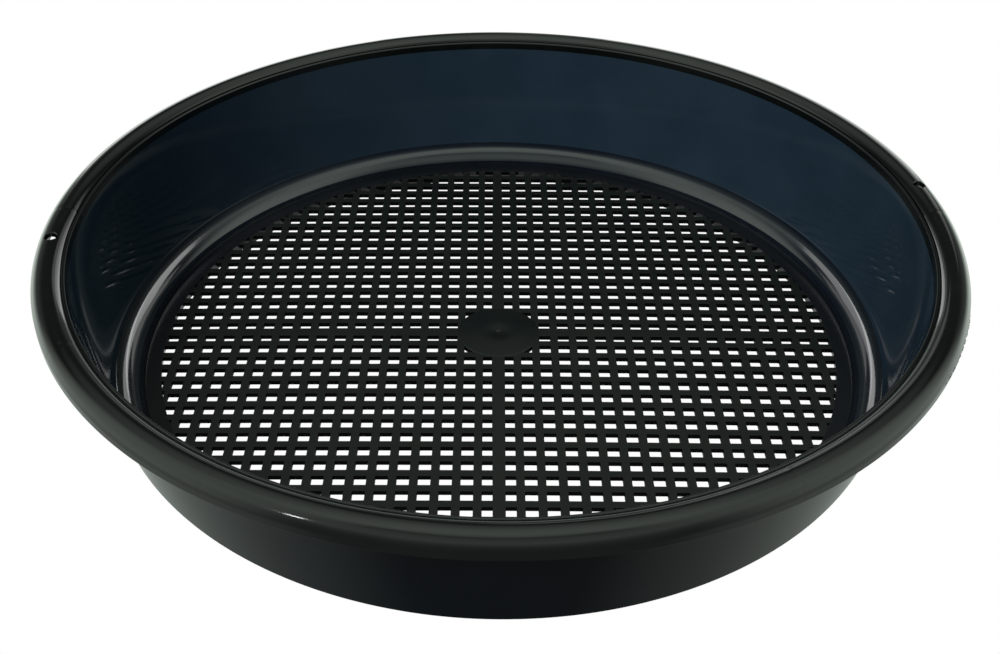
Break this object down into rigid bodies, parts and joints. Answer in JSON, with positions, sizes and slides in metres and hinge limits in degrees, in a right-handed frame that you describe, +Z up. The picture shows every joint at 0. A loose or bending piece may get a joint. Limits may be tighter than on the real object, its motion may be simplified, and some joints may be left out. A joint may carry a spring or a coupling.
{
  "type": "riddle sieve",
  "caption": "Round one-piece black plastic sieve with a square mesh floor, tapered wall and rolled rim, used over a gold pan to sort gravel.",
  "frame": {"origin": "centre of the plane that the foot ring stands on", "axes": "+Z up through the centre of the mesh; X and Y along the mesh bars, the wide cross ribs lie on them"},
  "size_m": [0.369, 0.369, 0.0706],
  "materials": {
    "rim_plastic": "glossy black injection-moulded polypropylene",
    "wall_plastic": "glossy near-black injection-moulded polypropylene",
    "mesh_plastic": "satin black polypropylene with fine tool texture"
  },
  "bodies": {
    "root": {"foot_ring": "wall_plastic", "floor_border": "wall_plastic", "riser": "wall_plastic", "ledge": "wall_plastic", "side_wall": "wall_plastic", "rim_lip": "rim_plastic", "rim_crown": "rim_plastic", "rim_skirt": "rim_plastic", "centre_disc": "mesh_plastic", "mesh_back_right": "mesh_plastic", "mesh_back_left": "mesh_plastic", "mesh_front_left": "mesh_plastic", "mesh_front_right": "mesh_plastic", "cross_rib_right": "mesh_plastic", "cross_rib_back": "mesh_plastic", "cross_rib_left": "mesh_plastic", "cross_rib_front": "mesh_plastic", "rim_gusset_1": "rim_plastic", "rim_gusset_2": "rim_plastic", "rim_gusset_3": "rim_plastic", "rim_gusset_4": "rim_plastic", "rim_gusset_5": "rim_plastic", "rim_gusset_6": "rim_plastic"}
  },
  "joints": []
}
